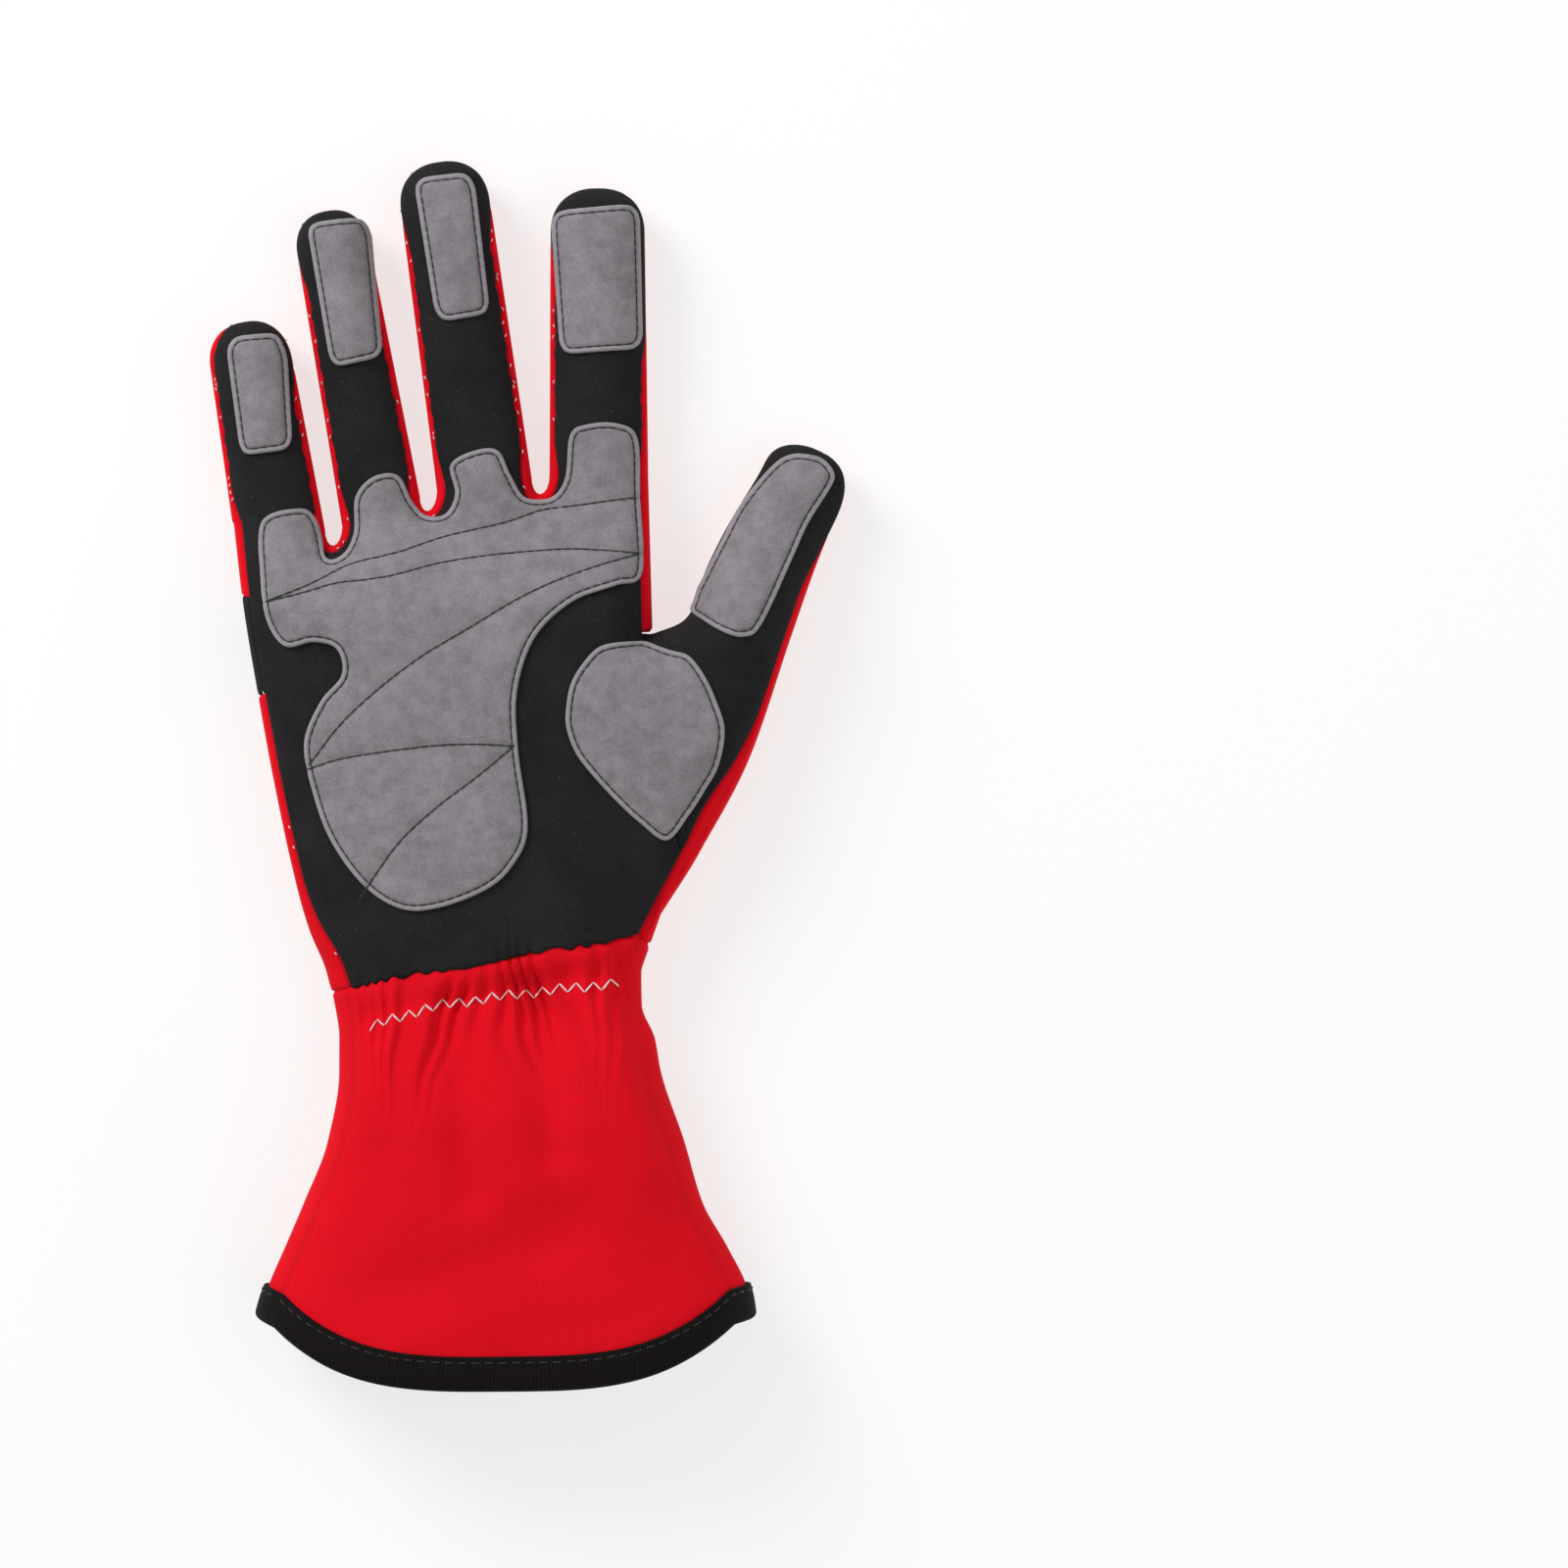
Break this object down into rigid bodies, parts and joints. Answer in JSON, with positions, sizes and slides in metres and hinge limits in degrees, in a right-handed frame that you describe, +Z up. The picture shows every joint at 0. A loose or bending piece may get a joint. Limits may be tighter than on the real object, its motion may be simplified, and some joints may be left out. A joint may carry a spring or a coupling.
{
  "type": "full-finger sport glove with gauntlet cuff",
  "caption": "Full-finger glove for the right hand with a flared gauntlet cuff, suede grip patches on palm and fingertips, gathered wrist, bound hem and a closing strap on the back of the wrist.",
  "frame": {"origin": "under the middle of the glove's bounding box, on the surface that it rests on", "axes": "+Y from the cuff to the fingertips (the long way), +X from the little finger's side to the thumb, +Z up, from the back of the hand to the palm"},
  "size_m": [0.1622, 0.313, 0.0393],
  "materials": {
    "red_knit": "matt knit with fine ribs",
    "black_cloth": "matt suede-like cloth",
    "grey_suede": "matt mottled suede",
    "black_tape": "ribbed woven tape",
    "loop_pile": "red fastener loop pile"
  },
  "bodies": {
    "root": {"palm_panel": "black_cloth", "back_panel": "red_knit", "back_inset": "black_cloth", "fourchette_pinky_ring": "red_knit", "fourchette_ring_middle": "red_knit", "fourchette_middle_index": "red_knit", "thumb_front": "black_cloth", "thumb_back": "red_knit", "cuff_panel": "red_knit", "hem_binding": "black_tape", "palm_patch": "grey_suede", "thumb_base_patch": "grey_suede", "thumb_patch": "grey_suede", "pinky_patch": "grey_suede", "ring_patch": "grey_suede", "middle_patch": "grey_suede", "index_patch": "grey_suede", "wrist_tab": "red_knit", "wrist_strap": "red_knit", "strap_loop_face": "loop_pile"}
  },
  "joints": []
}
